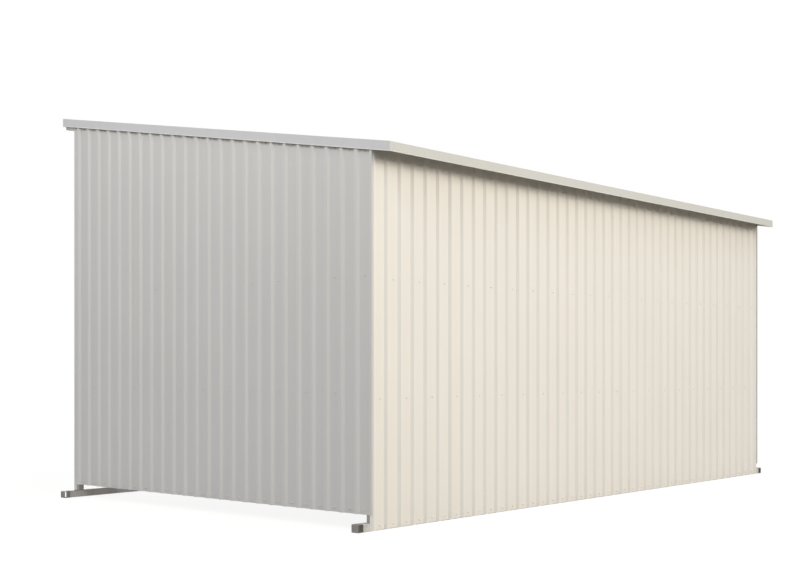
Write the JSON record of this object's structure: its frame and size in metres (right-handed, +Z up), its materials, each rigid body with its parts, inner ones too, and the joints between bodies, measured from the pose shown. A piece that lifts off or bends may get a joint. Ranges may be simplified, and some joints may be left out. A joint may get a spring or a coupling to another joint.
{
  "type": "skid-mounted field shelter",
  "caption": "Portable mono-pitch field shelter: square steel tube frame on tow skids, ribbed sheet cladding on rear, ends and roof, open front",
  "frame": {"origin": "centre of the footprint at ground level, under the skids", "axes": "+X along the length, +Y to the closed rear wall, so the open front faces -Y, +Z up"},
  "size_m": [5.444, 3.308, 2.857],
  "materials": {
    "frame": "galvanised, dull, with faint spangle",
    "wall_cladding": "cream factory paint, satin",
    "roof_cladding": "cream factory paint, satin",
    "capping": "pale grey-cream factory paint, satin"
  },
  "bodies": {
    "root": {"rear_skid": "frame", "front_skid": "frame", "rear_tow_eyes": "frame", "front_tow_eyes": "frame", "rear_post_left": "frame", "rear_post_mid": "frame", "rear_post_right": "frame", "front_post_left": "frame", "front_post_mid": "frame", "front_post_right": "frame", "rafter_left": "frame", "rafter_mid": "frame", "rafter_right": "frame", "roof_purlins": "frame", "front_header": "frame", "rear_girts_left": "frame", "rear_girts_right": "frame", "side_girts_left": "frame", "side_girts_right": "frame", "rear_sheet_1": "wall_cladding", "rear_sheet_2": "wall_cladding", "rear_sheet_3": "wall_cladding", "rear_sheet_4": "wall_cladding", "rear_sheet_5": "wall_cladding", "rear_sheet_6": "wall_cladding", "rear_sheet_7": "wall_cladding", "side_sheet_left_1": "wall_cladding", "side_sheet_left_2": "wall_cladding", "side_sheet_left_3": "wall_cladding", "side_sheet_left_4": "wall_cladding", "side_sheet_right_1": "wall_cladding", "side_sheet_right_2": "wall_cladding", "side_sheet_right_3": "wall_cladding", "side_sheet_right_4": "wall_cladding", "roof_sheet_1": "roof_cladding", "roof_sheet_2": "roof_cladding", "roof_sheet_3": "roof_cladding", "roof_sheet_4": "roof_cladding", "roof_sheet_5": "roof_cladding", "roof_sheet_6": "roof_cladding", "roof_sheet_7": "roof_cladding", "barge_left": "capping", "barge_right": "capping", "rear_fascia": "capping", "front_fascia": "capping", "front_corner_cappings": "capping"}
  },
  "joints": []
}
